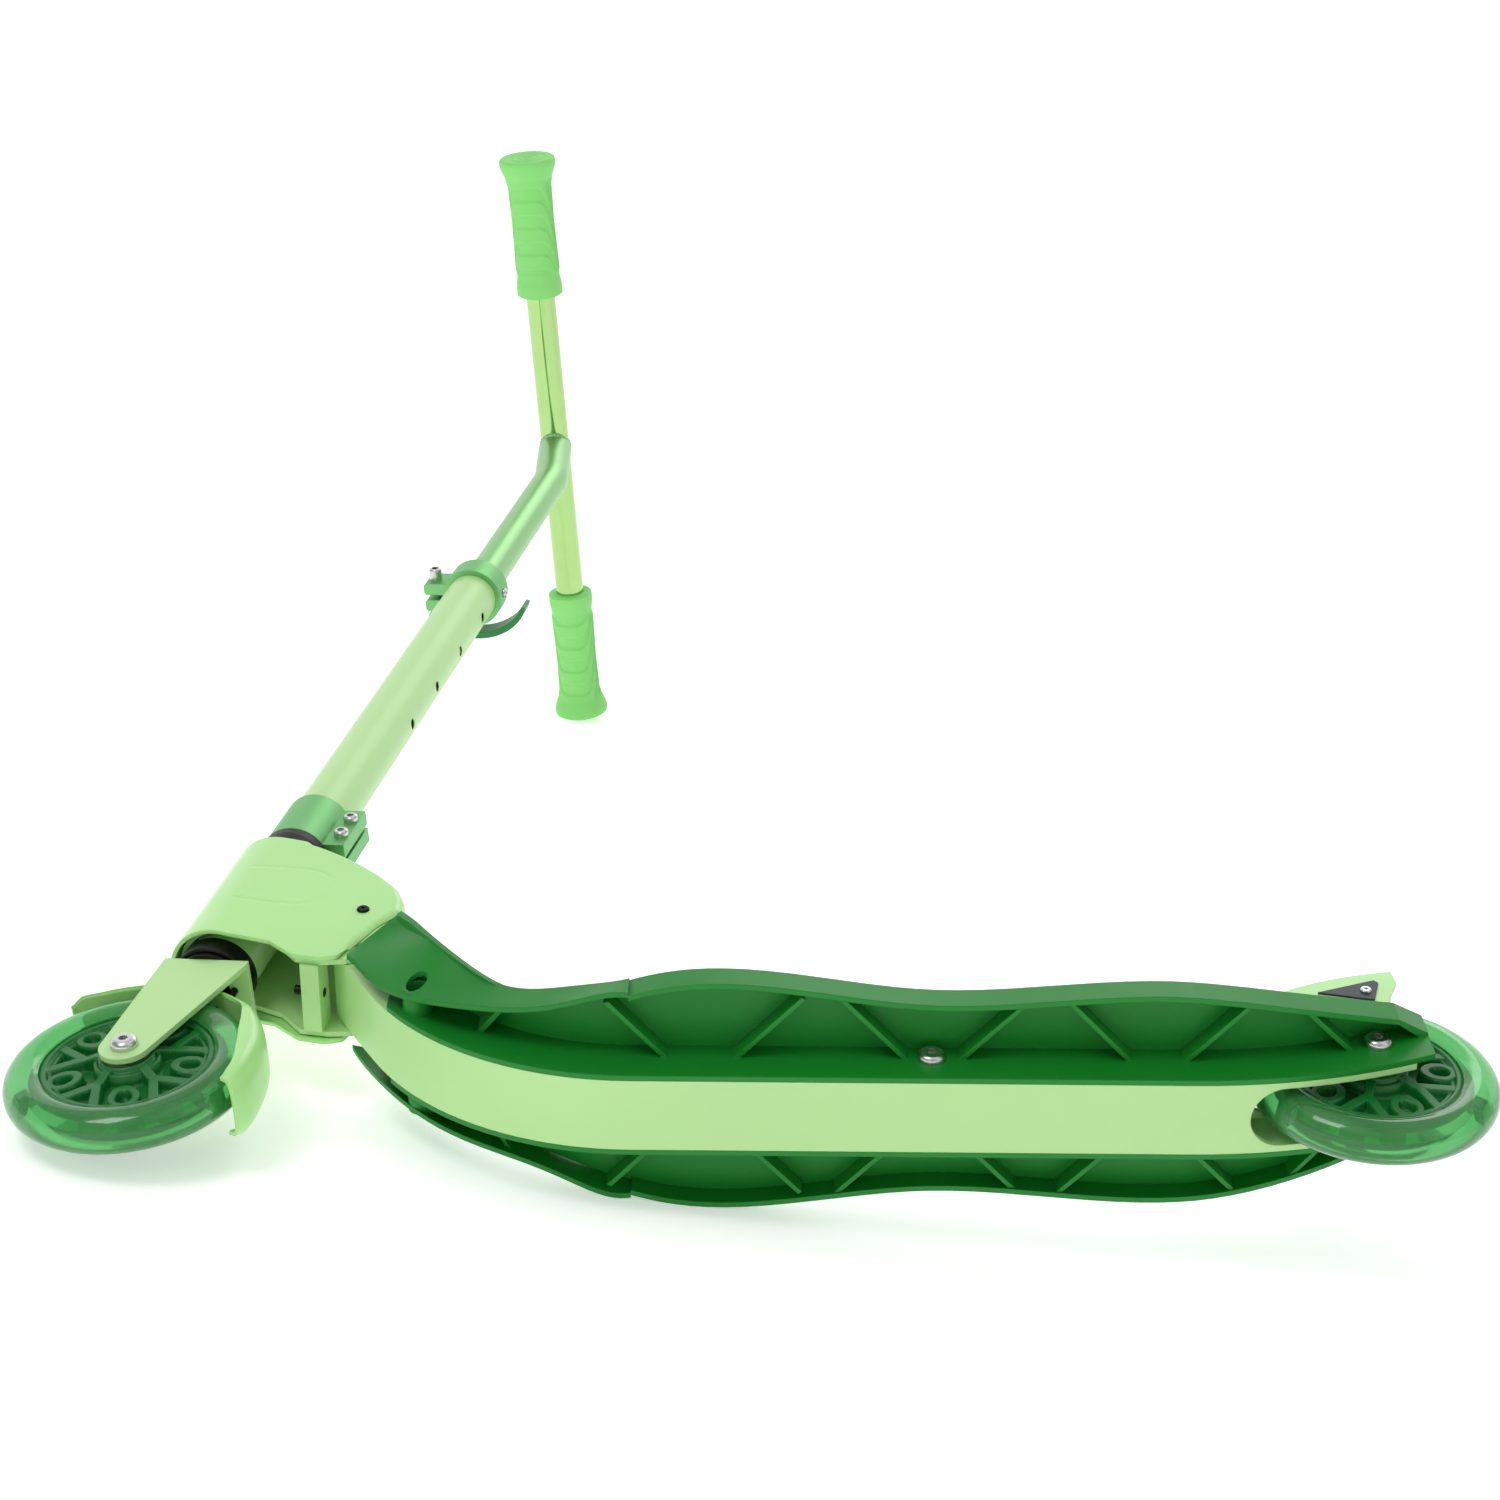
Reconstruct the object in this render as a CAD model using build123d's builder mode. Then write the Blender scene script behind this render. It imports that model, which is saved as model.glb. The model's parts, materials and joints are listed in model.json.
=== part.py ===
from build123d import *
from math import cos, radians, sin
import os

# Folding kick scooter with 125 mm wheels. Millimetres.
# Design frame: +X forward, +Y to the rider's left, +Z up, origin on the ground
# halfway between the axles. Every finished piece is laid down on its right side
# at the end, because a scooter without a stand rests like that.

# wheels and wheelbase
wheel_radius = 62.5
wheelbase = 620.0
tyre_round = 11.6            # radius of the tyre's round section
rim_radius = 43.5            # where the tyre sits on the core
rim_inner = 40.0
rim_half_width = 8.0
hub_radius = 14.0
hub_half_width = 11.5
bearing_radius = 11.0        # 608 bearing: 22 x 8 x 7
bearing_width = 7.0
axle_radius = 4.0
fit = 0.05                   # radial clearance of a shaft in its hole

# steering column
rake = 10.0                  # lean of the steering axis, degrees
axis_foot = 310.0            # where that axis meets the ground, ahead of the origin
steered = -4.25              # the bar comes to rest turned a little to the right
mast_radius = 17.0
mast_bore = 14.5
mast_bottom = 292.0          # heights from here on run along the steering axis
mast_top = 688.0
steerer_radius = mast_bore - fit
steerer_bore = 12.5
crown_top = 147.0
head_bottom, head_top = 163.0, 269.0
head_radius = 19.0
upper_radius = 12.7
upper_bottom = 520.0
bend_height = 898.0
bar_height = 974.0
bar_forward = 15.0
bar_radius = 11.1
bar_half = 226.0
grip_end = 229.0
grip_length = 106.0
hole_pitch = 56.0
lowest_hole = 468.0
button_height = lowest_hole + 2 * hole_pitch

# deck: one line in side view, made of a tail arc, a flat, a nose arc and a neck
deck_top = 59.0
tail_start, tail_bend = -215.0, 269.0
nose_start, nose_bend, nose_turn = 60.0, 124.0, 60.0
plate = 3.0                  # thickness of the moulded deck's top
tube_height = 28.0
tube_half = 20.0
tube_wall = 3.5
neck_length = 50.0
board_neck = 29.0
web = 3.0
rim_depth = 15.0             # depth of the deck's outer wall
fold_turn = 40.0             # distance of the fold bolt along the neck
slot_end = -244.0

# lying on the right side: the pose in which it is stable
lean = 78.81                 # how far it leans from upright, degrees
nose_down = 6.44             # then how far the front wheel dips below the rear one

front_axle = (wheelbase / 2, 0, wheel_radius)
rear_axle = (-wheelbase / 2, 0, wheel_radius)
tail_centre = (tail_start, deck_top + tail_bend)
nose_centre = (nose_start, deck_top + nose_bend)
neck_dir = Vector(cos(radians(nose_turn)), sin(radians(nose_turn)))

steer = Plane(
    origin=(axis_foot, 0, 0),
    x_dir=(cos(radians(rake)), 0, sin(radians(rake))),
    z_dir=(-sin(radians(rake)), 0, cos(radians(rake))),
)
steer_axis = Axis(origin=steer.origin, direction=steer.z_dir)
axle_height = wheel_radius * cos(radians(rake))
axle_forward = wheel_radius * sin(radians(rake))

pieces = {}


def side(y=0.0):
    """Plane of a side view at distance y to the left: local x is forward, local y is up."""
    return Plane(origin=(0, y, 0), x_dir=(1, 0, 0), z_dir=(0, -1, 0))


def steer_side(y=0.0):
    """Side view in the column's own directions: local y runs up the steering axis."""
    return Plane(origin=steer.origin + Vector(0, y, 0), x_dir=steer.x_dir, z_dir=(0, -1, 0))


def deck_point(turn, depth):
    """Point of the nose at an angle round its bend, a depth below the deck's top."""
    radius = nose_bend + depth
    return Vector(nose_start + radius * sin(radians(turn)), nose_centre[1] - radius * cos(radians(turn)))


def neck_point(along, depth):
    """Point of the straight neck: a distance along it, a depth below its top."""
    return deck_point(nose_turn, depth) + neck_dir * along


def deck_band(top, bottom, tail_turn, neck):
    """Closed outline between two depths of the deck line, in a side view sketch."""
    ends = []
    with BuildLine() as outline:
        for depth in (top, bottom):
            tail = CenterArc(tail_centre, tail_bend + depth, -90 - tail_turn, tail_turn)
            nose = CenterArc(nose_centre, nose_bend + depth, -90, nose_turn)
            Line(tail @ 1, nose @ 0)
            straight = Line(nose @ 1, (nose @ 1) + neck_dir * neck)
            ends.append((tail @ 0, straight @ 1))
        Line(ends[0][0], ends[1][0])
        Line(ends[0][1], ends[1][1])
    return outline.edges()


def keep(piece, label, turned=False):
    """Label a finished piece; turned pieces ride on the steered column."""
    piece.part.label = label
    pieces[label] = (piece.part, turned)


fold_point = neck_point(fold_turn, plate + tube_height / 2)
cross_bolt = (-88.0, 46.0)
screw_point = deck_point(48.5, 20)

# ---------------------------------------------------------------- backbone tube
# Bent rectangular steel tube. Its rear end is slotted, so that only the two side
# walls run past the wheel and carry the axle.
with BuildPart() as backbone_tube:
    with BuildSketch(side()):
        make_face(deck_band(plate, plate + tube_height, 22, neck_length))
    extrude(amount=tube_half, both=True)
    with BuildSketch(side()):
        make_face(deck_band(plate + tube_wall, plate + tube_height - tube_wall, 25, neck_length + 5))
    extrude(amount=tube_half - tube_wall, both=True, mode=Mode.SUBTRACT)
    with BuildSketch(Plane.XY):
        with Locations((slot_end - tube_half + tube_wall, 0)):
            Circle(tube_half - tube_wall)
            Rectangle(140, 2 * (tube_half - tube_wall), align=(Align.MAX, Align.CENTER))
    extrude(amount=120, mode=Mode.SUBTRACT)
    with BuildSketch(side()):
        with Locations(rear_axle[::2], cross_bolt, screw_point):
            Circle(axle_radius + fit)
        with Locations(fold_point):
            Circle(axle_radius + 1 + fit)
    extrude(amount=tube_half + 1, both=True, mode=Mode.SUBTRACT)
keep(backbone_tube, "backbone_tube")

# ---------------------------------------------------------------- deck board
# One plastic moulding with a channel under it for the tube: a top plate, a tall web
# each side of the tube, a shallow outer wall and zigzag ribs between them.
right_edge = ((184, -45), (158, -51), (124, -44.5), (45, -62.5), (-85, -54.5), (-213, -60), (-270, -50.5), (-320, -36))


def board_outline(inset):
    """Outline of the board seen from above, drawn in by an inset."""
    with BuildSketch() as plan:
        with BuildLine():
            edge = Spline(*((x, y + inset) for x, y in right_edge))
            tail = Line(edge @ 1, (inset - 337, inset - 24))
            Line(tail @ 1, (inset - 337, 24 - inset))
            mirror(edge, about=Plane.XZ)
            mirror(tail, about=Plane.XZ)
            Line(edge @ 0, (right_edge[0][0], -inset - right_edge[0][1]))
        make_face()
    return plan.sketch


rib_lines = [(112, 136), (74, 41)]
for centre in (-34, -144, -254):
    rib_lines += [(centre + 9, centre + 43), (centre - 9, centre - 43)]

with BuildPart() as board_block:
    with BuildSketch(side()):
        make_face(deck_band(0, plate + tube_height, 30, board_neck))
    extrude(amount=70, both=True)
    with BuildSketch(Plane.XY):
        add(board_outline(0))
    extrude(amount=250, mode=Mode.INTERSECT)

with BuildPart() as pocket:
    with BuildSketch(side()):
        make_face(deck_band(plate, plate + tube_height + 5, 33, board_neck + 10))
    extrude(amount=70, both=True)
    with BuildSketch(Plane.XY):
        add(board_outline(web))
        Rectangle(700, 2 * (tube_half + web), mode=Mode.SUBTRACT)
    extrude(amount=250, mode=Mode.INTERSECT)

with BuildPart() as channel:
    with BuildSketch(side()):
        make_face(deck_band(plate, plate + tube_height + 5, 33, board_neck + 10))
    extrude(amount=tube_half, both=True)

with BuildPart() as wall_trim:
    with BuildSketch(side()):
        make_face(deck_band(rim_depth, plate + tube_height + 5, 33, board_neck + 10))
    extrude(amount=70, both=True)
    with BuildSketch(Plane.XY):
        Rectangle(700, 2 * (tube_half + web))
    extrude(amount=250, mode=Mode.SUBTRACT)

with BuildPart() as nose_trim:
    with BuildSketch(side()):
        make_face(deck_band(plate, plate + tube_height + 5, 33, board_neck + 10))
    extrude(amount=70, both=True)
    with BuildSketch(Plane.XY):
        with Locations((nose_start, 0)):
            Rectangle(200, 200, align=(Align.MIN, Align.CENTER))
        Rectangle(700, 2 * (tube_half + web), mode=Mode.SUBTRACT)
    extrude(amount=250, mode=Mode.INTERSECT)

with BuildPart() as ribs:
    with BuildSketch(side()):
        make_face(deck_band(1, plate + 11, 29, board_neck - 2))
    extrude(amount=64, both=True)
    with BuildSketch(Plane.XY) as rib_plan:
        for outer_x, web_x in rib_lines:
            with BuildLine() as centre_line:
                Line((outer_x, 57), (web_x, tube_half + 1))
            trace(lines=centre_line.line, line_width=2.4)
        mirror(rib_plan.sketch, about=Plane.XZ)
        add(board_outline(1), mode=Mode.INTERSECT)
    extrude(amount=250, mode=Mode.INTERSECT)

# The outer wall grows into a side panel that leans in to the tube round the nose.
# Each station: turn round the nose, distance along the neck, half widths at the top
# and at the lower edge, and the depth of the lower edge.
panel_stations = (
    (0, 0, 60, 60, 15),
    (12, 0, 54, 53.5, 15.5),
    (25, 0, 46.5, 44.5, 17.5),
    (38, 0, 46, 39.5, 23),
    (52, 0, 51, 33, 29),
    (60, 0, 48.5, 31, 31),
    (60, board_neck, 45, 29, 31.5),
)
with BuildPart() as side_panel:
    for turn, along, upper_half, lower_half, depth in panel_stations:
        foot = deck_point(turn, 0) + neck_dir * along
        down = Vector(sin(radians(turn)), 0, -cos(radians(turn)))
        station = Plane(
            origin=(foot.X, 0, foot.Y),
            x_dir=(0, 1, 0),
            z_dir=Vector(0, 1, 0).cross(down),
        )
        with BuildSketch(station):
            Polygon(
                (upper_half - web, 1), (upper_half, 1), (lower_half, depth), (lower_half - web, depth),
                align=None,
            )
    loft()

with BuildPart() as deck_board:
    add(board_block.part)
    add(pocket.part, mode=Mode.SUBTRACT)
    add(wall_trim.part, mode=Mode.SUBTRACT)
    add(nose_trim.part, mode=Mode.SUBTRACT)
    add(channel.part, mode=Mode.SUBTRACT)
    add(ribs.part)
    add(side_panel.part)
    mirror(side_panel.part, about=Plane.XZ)
    with BuildSketch(side()):
        with Locations(screw_point):
            Circle(7.5)
    extrude(amount=36, both=True)
    with BuildSketch(side()):
        with Locations(screw_point):
            Circle(15)
    extrude(amount=tube_half, both=True, mode=Mode.SUBTRACT)
    for across in (-1, 1):
        with BuildSketch(side(26 * across)):
            with Locations(screw_point):
                Circle(5.5)
        extrude(amount=-40 * across, mode=Mode.SUBTRACT)
    with BuildSketch(Plane.XY):
        with Locations((slot_end - tube_half + tube_wall, 0)):
            Circle(tube_half - tube_wall)
            Rectangle(140, 2 * (tube_half - tube_wall), align=(Align.MAX, Align.CENTER))
    extrude(amount=120, mode=Mode.SUBTRACT)
    with BuildSketch(side()):
        with Locations(rear_axle[::2], cross_bolt, screw_point):
            Circle(axle_radius + fit)
    extrude(amount=tube_half + web + 4, both=True, mode=Mode.SUBTRACT)
keep(deck_board, "deck_board")


# ---------------------------------------------------------------- shared pieces
def ring(plane, outer, inner, length):
    """Plain ring or tube standing on a plane."""
    with BuildPart() as piece:
        with BuildSketch(plane):
            Circle(outer)
            Circle(inner, mode=Mode.SUBTRACT)
        extrude(amount=length)
    return piece


def bolt(plane, shank, length, head, height, socket):
    """Domed socket bolt: its head stands on the plane and its shank goes below it."""
    with BuildPart() as piece:
        with BuildSketch(plane):
            Circle(head)
        extrude(amount=height)
        top = piece.faces().sort_by(Axis(plane.origin, plane.z_dir))[-1]
        fillet(top.edges(), min(height * 0.7, (head - socket) * 0.7))
        with BuildSketch(plane):
            Circle(shank)
        extrude(amount=-length)
        with BuildSketch(plane.offset(height)):
            RegularPolygon(socket, 6)
        extrude(amount=-height * 0.6, mode=Mode.SUBTRACT)
    return piece


def nut(plane, across, bore, height):
    """Hexagon nut standing on a plane."""
    with BuildPart() as piece:
        with BuildSketch(plane):
            RegularPolygon(across / 2, 6, major_radius=False)
            Circle(bore, mode=Mode.SUBTRACT)
        extrude(amount=height)
    return piece


def coil(plane, radius, wire, pitch, height):
    """Round wire spring wound about the plane's normal."""
    with BuildPart() as piece:
        with BuildLine():
            turns = Helix(pitch, height, radius, center=plane.origin, direction=plane.z_dir)
        with BuildSketch(Plane(origin=turns @ 0, z_dir=turns % 0)):
            Circle(wire)
        sweep(is_frenet=True)
    return piece


def facing(x, y, z, outward):
    """Plane across the scooter at a point, facing left (outward 1) or right (-1)."""
    return Plane(origin=(x, y, z), x_dir=(1, 0, 0), z_dir=(0, outward, 0))


def steer_facing(forward, height, y, outward):
    """The same for a point given in the column's directions."""
    at = steer.from_local_coords(Vector(forward, y, height))
    return Plane(origin=at, x_dir=steer.x_dir, z_dir=(0, outward, 0))


def group(*parts):
    """Several separate solids kept as one piece."""
    with BuildPart() as piece:
        for part in parts:
            add(part.part)
    return piece


# ---------------------------------------------------------------- deck fasteners
web_face = tube_half + web
bolt_x, bolt_z = cross_bolt
keep(bolt(facing(bolt_x, web_face, bolt_z, 1), axle_radius, 2 * web_face + 5, 7, 4.2, 2.5), "deck_cross_bolt")
keep(nut(facing(bolt_x, -web_face, bolt_z, -1), 13, axle_radius, 5), "deck_cross_nut")
keep(
    group(
        *(
            bolt(facing(screw_point.X, 26 * across, screw_point.Y, across), axle_radius, 11, 5.2, 2.4, 2)
            for across in (1, -1)
        )
    ),
    "deck_side_screws",
)

# ---------------------------------------------------------------- wheels
led_radius = 52.6
spokes = 5


def wheel(axle, prefix, turned):
    """Tyre, core, bearings and lights of one wheel, round its axle."""
    radial = Plane(origin=axle, x_dir=(0, 1, 0), z_dir=(1, 0, 0))
    spin = Axis(origin=axle, direction=(0, 1, 0))
    centre = facing(*axle, -1)
    with BuildPart() as lights:
        with BuildSketch(centre):
            with PolarLocations(led_radius, 3, start_angle=90):
                Rectangle(5, 9)
        extrude(amount=4, both=True)
    with BuildPart() as tyre:
        with BuildSketch(radial):
            with Locations((0, wheel_radius - tyre_round)):
                Circle(tyre_round)
            with Locations((0, rim_radius)):
                Rectangle(40, 60, align=(Align.CENTER, Align.MAX), mode=Mode.SUBTRACT)
                Rectangle(5, 6, align=(Align.CENTER, Align.MIN), mode=Mode.SUBTRACT)
        revolve(axis=spin)
        add(lights.part, mode=Mode.SUBTRACT)
    with BuildPart() as core:
        with BuildSketch(radial):
            with Locations((0, rim_inner)):
                Rectangle(2 * rim_half_width, rim_radius - rim_inner, align=(Align.CENTER, Align.MIN))
            with Locations((0, rim_radius)):
                Rectangle(5, 6, align=(Align.CENTER, Align.MIN))
        revolve(axis=spin)
        with BuildSketch(centre):
            Circle(hub_radius)
        extrude(amount=hub_half_width, both=True)
        with BuildSketch(centre):
            with PolarLocations(0, spokes):
                with Locations((20, 0)):
                    Rectangle(16, 4.4)
                with Locations(Location((33, 5.2), 33), Location((33, -5.2), -33)):
                    Rectangle(20, 3.4)
            with PolarLocations(33.6, spokes, start_angle=180 / spokes):
                Circle(7.6)
                Circle(4.8, mode=Mode.SUBTRACT)
        extrude(amount=5, both=True)
        with BuildSketch(centre):
            with PolarLocations(rim_radius + 3, 16):
                Rectangle(3.2, 9)
        extrude(amount=10, both=True, mode=Mode.SUBTRACT)
        with BuildSketch(centre):
            Circle(9)
        extrude(amount=hub_half_width, both=True, mode=Mode.SUBTRACT)
        for across in (1, -1):
            with BuildSketch(facing(axle[0], across * hub_half_width, axle[2], across)):
                Circle(bearing_radius)
            extrude(amount=-bearing_width, mode=Mode.SUBTRACT)
    inner_face = hub_half_width - bearing_width
    bearings = group(
        *(
            ring(facing(axle[0], across * inner_face, axle[2], across), bearing_radius, axle_radius + fit, bearing_width)
            for across in (1, -1)
        )
    )
    keep(tyre, prefix + "_tyre", turned)
    keep(core, prefix + "_wheel_core", turned)
    keep(lights, prefix + "_wheel_lights", turned)
    keep(bearings, prefix + "_bearings", turned)


def axle_set(axle, prefix, seat, inner, turned):
    """Axle bolt, nut, the spacers that centre the wheel and the sleeve between its bearings."""
    x, _, z = axle
    near = hub_half_width + 0.1
    between = hub_half_width - bearing_width - 0.1
    spacers = group(
        *(ring(facing(x, across * near, z, across), 6.5, axle_radius, inner - near) for across in (1, -1)),
        ring(facing(x, -between, z, 1), 6, axle_radius, 2 * between),
    )
    keep(bolt(facing(x, seat, z, 1), axle_radius, 2 * seat + 6, 7, 4.6, 2.5), prefix + "_axle_bolt", turned)
    keep(nut(facing(x, -seat, z, -1), 13, axle_radius, 6), prefix + "_axle_nut", turned)
    keep(spacers, prefix + "_axle_spacers", turned)


wheel(rear_axle, "rear", False)
wheel(front_axle, "front", True)
fork_inner, fork_wall = 13.5, 3.0
axle_set(rear_axle, "rear", web_face, tube_half - tube_wall, False)
axle_set(front_axle, "front", fork_inner + fork_wall, fork_inner, True)

# ---------------------------------------------------------------- rear brake
# Sprung plastic pedal over the rear wheel, hinged on a pin ahead of it.
pin_x, pin_z = -238.0, 67.0
brake_half = 17.0
plate_screw = (-316.0, 121.0)


def brake_line():
    """Upper outline of the pedal in side view."""
    return ((-236, 72), (-256.5, 107.5), (-290, 129.5), (-333, 142))


with BuildPart() as brake_pedal:
    with BuildSketch(side()):
        with BuildLine():
            top = Spline(*brake_line())
            Line(top @ 1, (-334, 138))
            under = Spline((-334, 138), (-290, 126.4), (-259.2, 105.5), (-240, 72))
            Line(under @ 1, top @ 0)
        make_face()
    extrude(amount=brake_half - 2.5, both=True)
    with BuildSketch(side()):
        with Locations((pin_x, pin_z)):
            Circle(6)
            Rectangle(5, 10, align=(Align.CENTER, Align.MIN))
    extrude(amount=12.8, both=True)
    with BuildSketch(side()):
        with Locations((pin_x, pin_z)):
            Circle(6.6)
    extrude(amount=5.5, both=True, mode=Mode.SUBTRACT)
    with BuildSketch(side(-brake_half)):
        with BuildLine():
            top = Spline(*brake_line())
            Polyline(top @ 1, (-334, 131), (-323, 106), (-292, 112), (-264, 94), (-240, 72), top @ 0)
        make_face()
    extrude(amount=-2.5)
    mirror(about=Plane.XZ)
    for across in (1, -1):
        with BuildSketch(side(12.8 * across)):
            with Locations((pin_x, pin_z)):
                Circle(7)
        extrude(amount=-5 * across, mode=Mode.SUBTRACT)
    with BuildSketch(side()):
        with Locations((pin_x, pin_z)):
            Circle(2.5 + fit)
        with Locations(plate_screw):
            Circle(1.6)
    extrude(amount=30, both=True, mode=Mode.SUBTRACT)
keep(brake_pedal, "brake_pedal")

with BuildPart() as brake_insert:
    with BuildSketch(side(brake_half)):
        Polygon((-291, 119), (-322, 131.5), (-324, 129), (-319, 112.5), align=None)
        with Locations(plate_screw):
            Circle(1.6, mode=Mode.SUBTRACT)
    extrude(amount=-1.2)
    mirror(about=Plane.XZ)
keep(brake_insert, "brake_side_plates")
keep(
    group(
        *(
            bolt(facing(plate_screw[0], (brake_half + 1.2) * across, plate_screw[1], across), 1.6, 3, 3, 1.4, 1.1)
            for across in (1, -1)
        )
    ),
    "brake_plate_screws",
)

mount_front = tail_start - 0.5
with BuildPart() as brake_mount:
    for across in (1, -1):
        with BuildSketch(side(13.2 * across)):
            with Locations((pin_x, pin_z)):
                Circle(6)
                Rectangle(12, 12, align=(Align.CENTER, Align.MAX))
        extrude(amount=-3 * across)
    with BuildSketch(side()):
        with Locations((mount_front, deck_top - 2)):
            Rectangle(25.5, 4.5, align=(Align.MAX, Align.MIN))
    extrude(amount=16.2, both=True)
    with BuildSketch(side()):
        with Locations((pin_x, pin_z)):
            Circle(2.5)
    extrude(amount=30, both=True, mode=Mode.SUBTRACT)
    with BuildSketch(side()):
        with Locations((pin_x, pin_z)):
            Circle(7)
    extrude(amount=13.2, both=True, mode=Mode.SUBTRACT)
    add(board_block.part, mode=Mode.SUBTRACT)
keep(brake_mount, "brake_mount")
with BuildPart() as brake_pin:
    with BuildSketch(side(-17.2)):
        with Locations((pin_x, pin_z)):
            Circle(2.5)
    extrude(amount=-34.4)
keep(brake_pin, "brake_pin")
keep(coil(facing(pin_x, -4, pin_z, 1), 4.2, 0.6, 1.6, 8), "brake_spring")

# ---------------------------------------------------------------- folding head
# Head tube in a U-shaped steel bracket, which straddles the neck of the backbone and
# turns on the fold pin. Two plastic shells cover it.
cover_half, cover_wall = 26.5, 2.5
bracket_half, bracket_wall = tube_half + 0.4, 3.0
latch_point = fold_point + neck_dir * 20.8
latch_travel = 6.0


def head_section(half, bottom, top):
    """Prism about the column with two flat sides and a round nose."""
    with BuildPart() as prism:
        with BuildSketch(steer.offset(bottom)):
            Circle(half)
            with Locations((-60, 0)):
                Rectangle(120, 2 * half)
        extrude(amount=top - bottom)
    return prism.part


cover_crest = ((-5, 266), (-33, 257), (-58, 243), (-82, 223), (-90.5, 200))


def cover_face(across, down):
    """Side outline of the covers, its crest moved back by a wall's thickness."""
    with BuildSketch() as outline:
        with BuildLine():
            crest = Spline(*((x + across, s - down) for x, s in cover_crest))
            heel = Polyline(crest @ 1, (-82, 184), (-75, 158))
            belly = Spline(heel @ 1, (-66, 143), (-50, 143), (-34, 155), (-10, 160))
            Polyline(belly @ 1, (32, 161), (32, 268), crest @ 0)
        make_face()
    return outline.sketch


with BuildPart() as cover_block:
    with BuildSketch(steer_side()):
        add(cover_face(0, 0))
    extrude(amount=60, both=True)
    add(head_section(cover_half, 100, 300), mode=Mode.INTERSECT)
    with BuildPart(mode=Mode.PRIVATE) as hollow:
        with BuildSketch(steer_side()):
            add(cover_face(1.4, 2.2))
            Polygon((-80, 195), (-100, 190), (-80, 120), (40, 120), (40, 180), (-50, 190), align=None)
        extrude(amount=60, both=True)
        add(head_section(cover_half - cover_wall, 90, 310), mode=Mode.INTERSECT)
    add(hollow.part, mode=Mode.SUBTRACT)
    with BuildSketch(steer.offset(240)):
        Circle(22)
    extrude(amount=60, mode=Mode.SUBTRACT)
    with BuildSketch(Plane(origin=(latch_point.X, 0, latch_point.Y), x_dir=(0, 1, 0), z_dir=(-0.35, 0, 1))):
        Rectangle(19.6, 22)
    extrude(amount=90, mode=Mode.SUBTRACT)

cover_screw_at = (-70.0, 196.0)
for name, across in (("left_cover", 1), ("right_cover", -1)):
    with BuildPart() as half_cover:
        add(cover_block.part)
        with BuildSketch(Plane.XZ.offset(-0.1 * across)):
            Rectangle(1200, 1200)
        extrude(amount=100 * across, mode=Mode.SUBTRACT)
        with BuildSketch(steer_side()):
            with Locations(cover_screw_at):
                Circle(1.6)
        extrude(amount=60, both=True, mode=Mode.SUBTRACT)
    keep(half_cover, name)

with BuildPart() as bracket:
    with BuildSketch(steer_side()):
        with BuildLine():
            crest = Spline((-8, 256), (-36, 246), (-60, 232), (-78, 212))
            Polyline(crest @ 1, (-86, 190), (-82.5, 184.5), (-81.4, 176), (-86.4, 172.3), (-90.3, 165.6))
            Polyline((-90.3, 165.6), (-89, 159), (-75, 150), (-64, 147), (-48, 147), (-34, 160), (-10, 168))
            Polyline((-10, 168), (30, 168), (30, 256), crest @ 0)
        make_face()
    extrude(amount=60, both=True)
    add(head_section(bracket_half + bracket_wall, 100, 300), mode=Mode.INTERSECT)
    add(head_section(bracket_half, 90, 310), mode=Mode.SUBTRACT)
    with BuildSketch(side()):
        with Locations(fold_point):
            Circle(5)
        with Locations(Location(Vector(*(latch_point + neck_dir * latch_travel / 2)), nose_turn)):
            SlotCenterToCenter(latch_travel, 6.4)
    extrude(amount=60, both=True, mode=Mode.SUBTRACT)
keep(bracket, "head_bracket")
keep(ring(steer.offset(head_bottom), head_radius, steerer_radius + 1.2, head_top - head_bottom), "head_tube")

block_at = (228.5, 141.0)
with BuildPart() as stop_block:
    with BuildSketch(side()):
        with Locations(Location(Vector(*block_at), rake)):
            Rectangle(10, 15)
    extrude(amount=bracket_half, both=True)
    with BuildSketch(Plane(origin=(block_at[0], 0, block_at[1]), z_dir=steer.x_dir)):
        Circle(2.5)
    extrude(amount=12, both=True, mode=Mode.SUBTRACT)
keep(stop_block, "stop_block")
screw_plane = Plane(origin=(block_at[0], 0, block_at[1]), z_dir=steer.x_dir)
with BuildPart() as stop_screw:
    with BuildSketch(screw_plane.offset(-5.2)):
        Circle(2.5)
    extrude(amount=16)
    with BuildSketch(screw_plane.offset(10.8)):
        RegularPolygon(1.3, 6)
    extrude(amount=-2.5, mode=Mode.SUBTRACT)
keep(stop_screw, "stop_screw")

with BuildPart() as fold_pin:
    with BuildSketch(side(-bracket_half - bracket_wall)):
        with Locations(fold_point):
            Circle(5)
    extrude(amount=-2 * (bracket_half + bracket_wall))
keep(fold_pin, "fold_pin")

keep(
    group(
        *(
            bolt(steer_facing(*cover_screw_at, cover_half * across, across), 1.6, 3.1, 3.4, 1.4, 1.2)
            for across in (1, -1)
        )
    ),
    "cover_screws",
)

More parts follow.
